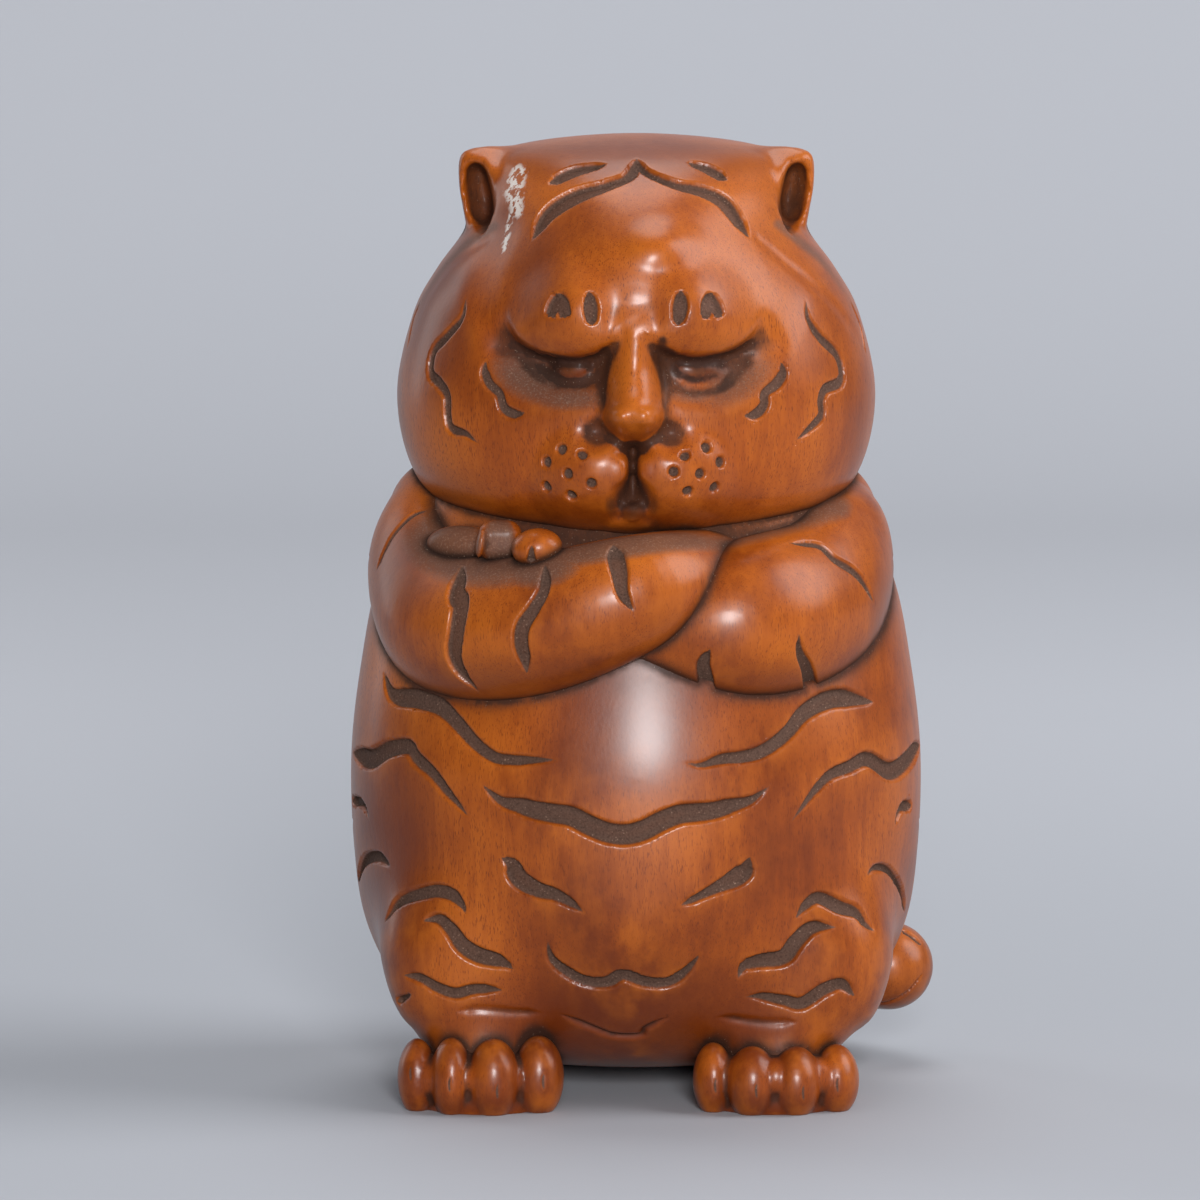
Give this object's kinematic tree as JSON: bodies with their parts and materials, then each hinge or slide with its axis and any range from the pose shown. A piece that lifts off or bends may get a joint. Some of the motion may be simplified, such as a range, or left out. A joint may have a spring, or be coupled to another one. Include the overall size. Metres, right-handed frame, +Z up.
{
  "type": "carved wooden cat figurine",
  "caption": "Hand-size carved boxwood figure of a sulking tiger cat, upright with crossed forearms and a flat base to stand on.",
  "frame": {"origin": "on the surface it stands on, at the middle of the figure's outline seen from above", "axes": "+Z up, the face looks towards -Y, the figure's own left is +X"},
  "size_m": [0.0498, 0.0506, 0.08],
  "materials": {
    "boxwood_polished": "stained red-brown and polished, satin to gloss",
    "boxwood_dark": "the same wood where the stain lies darker, satin",
    "boxwood_worn": "the same wood on rubbed high spots, glossier and more orange"
  },
  "bodies": {
    "root": {"torso": "boxwood_polished", "head": "boxwood_polished", "ear_right": "boxwood_polished", "ear_left": "boxwood_polished", "arm_right": "boxwood_worn", "arm_left": "boxwood_worn", "paw_left": "boxwood_worn", "leg_right": "boxwood_dark", "leg_left": "boxwood_dark", "foot_right": "boxwood_worn", "foot_left": "boxwood_worn", "tail": "boxwood_dark"}
  },
  "joints": []
}
